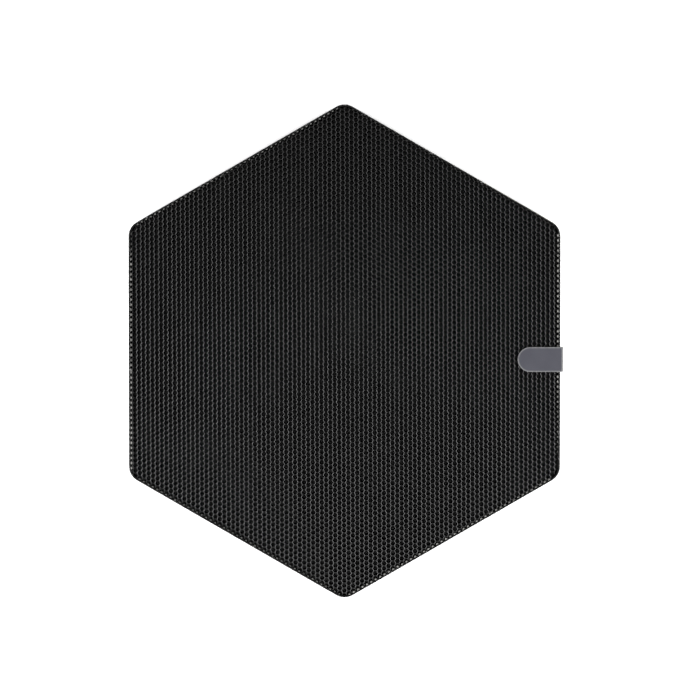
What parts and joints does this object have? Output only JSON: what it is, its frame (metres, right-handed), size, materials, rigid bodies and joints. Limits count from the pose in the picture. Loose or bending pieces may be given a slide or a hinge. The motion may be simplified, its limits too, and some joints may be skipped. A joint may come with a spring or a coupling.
{
  "type": "honeycomb grid",
  "caption": "Flat hexagonal light-control grid: a rounded metal band around a black foil honeycomb, with a fold-over pull tab on one side.",
  "frame": {"origin": "centre of the back face, where the grid lies on its back", "axes": "+Z out of the front face, along the light's axis; +Y to a point of the hexagon; +X to the flat side that carries the pull tab"},
  "size_m": [0.4089, 0.464, 0.0169],
  "materials": {
    "band_black": "satin black paint over aluminium strip",
    "core_black": "black coated foil, low sheen",
    "bond_pale": "cured adhesive, pale grey",
    "splice_black": "satin black",
    "rivet_metal": "bare",
    "film_clear": "pressure-sensitive film",
    "tab_grey": "smooth moulded elastomer, cool mid grey"
  },
  "bodies": {
    "grid": {"frame_band": "band_black", "splice_plate": "splice_black", "splice_rivets": "rivet_metal", "bond_strip_1": "bond_pale", "bond_strip_2": "bond_pale", "bond_strip_3": "bond_pale", "bond_strip_4": "bond_pale", "bond_strip_5": "bond_pale", "bond_strip_6": "bond_pale", "core_ribbon_01": "core_black", "core_ribbon_02": "core_black", "core_ribbon_03": "core_black", "core_ribbon_04": "core_black", "core_ribbon_05": "core_black", "core_ribbon_06": "core_black", "core_ribbon_07": "core_black", "core_ribbon_08": "core_black", "core_ribbon_09": "core_black", "core_ribbon_10": "core_black", "core_ribbon_11": "core_black", "core_ribbon_12": "core_black", "core_ribbon_13": "core_black", "core_ribbon_14": "core_black", "core_ribbon_15": "core_black", "core_ribbon_16": "core_black", "core_ribbon_17": "core_black", "core_ribbon_18": "core_black", "core_ribbon_19": "core_black", "core_ribbon_20": "core_black", "core_ribbon_21": "core_black", "core_ribbon_22": "core_black", "core_ribbon_23": "core_black", "core_ribbon_24": "core_black", "core_ribbon_25": "core_black", "core_ribbon_26": "core_black", "core_ribbon_27": "core_black", "core_ribbon_28": "core_black", "core_ribbon_29": "core_black", "core_ribbon_30": "core_black", "core_ribbon_31": "core_black", "core_ribbon_32": "core_black", "core_ribbon_33": "core_black", "core_ribbon_34": "core_black", "core_ribbon_35": "core_black", "core_ribbon_36": "core_black", "core_ribbon_37": "core_black", "core_ribbon_38": "core_black", "core_ribbon_39": "core_black", "core_ribbon_40": "core_black", "core_ribbon_41": "core_black", "core_ribbon_42": "core_black", "core_ribbon_43": "core_black", "core_ribbon_44": "core_black", "core_ribbon_45": "core_black", "core_ribbon_46": "core_black", "tab_adhesive": "film_clear", "tab_anchor": "tab_grey"},
    "tab": {"tab_leaf": "tab_grey"}
  },
  "joints": [
    {"name": "tab_fold", "type": "hinge", "parent": "grid", "child": "tab", "pos_m": [0.2051, -0.0075, 0.0161], "axis": [0, 1, 0], "range_deg": [0, 180]}
  ]
}
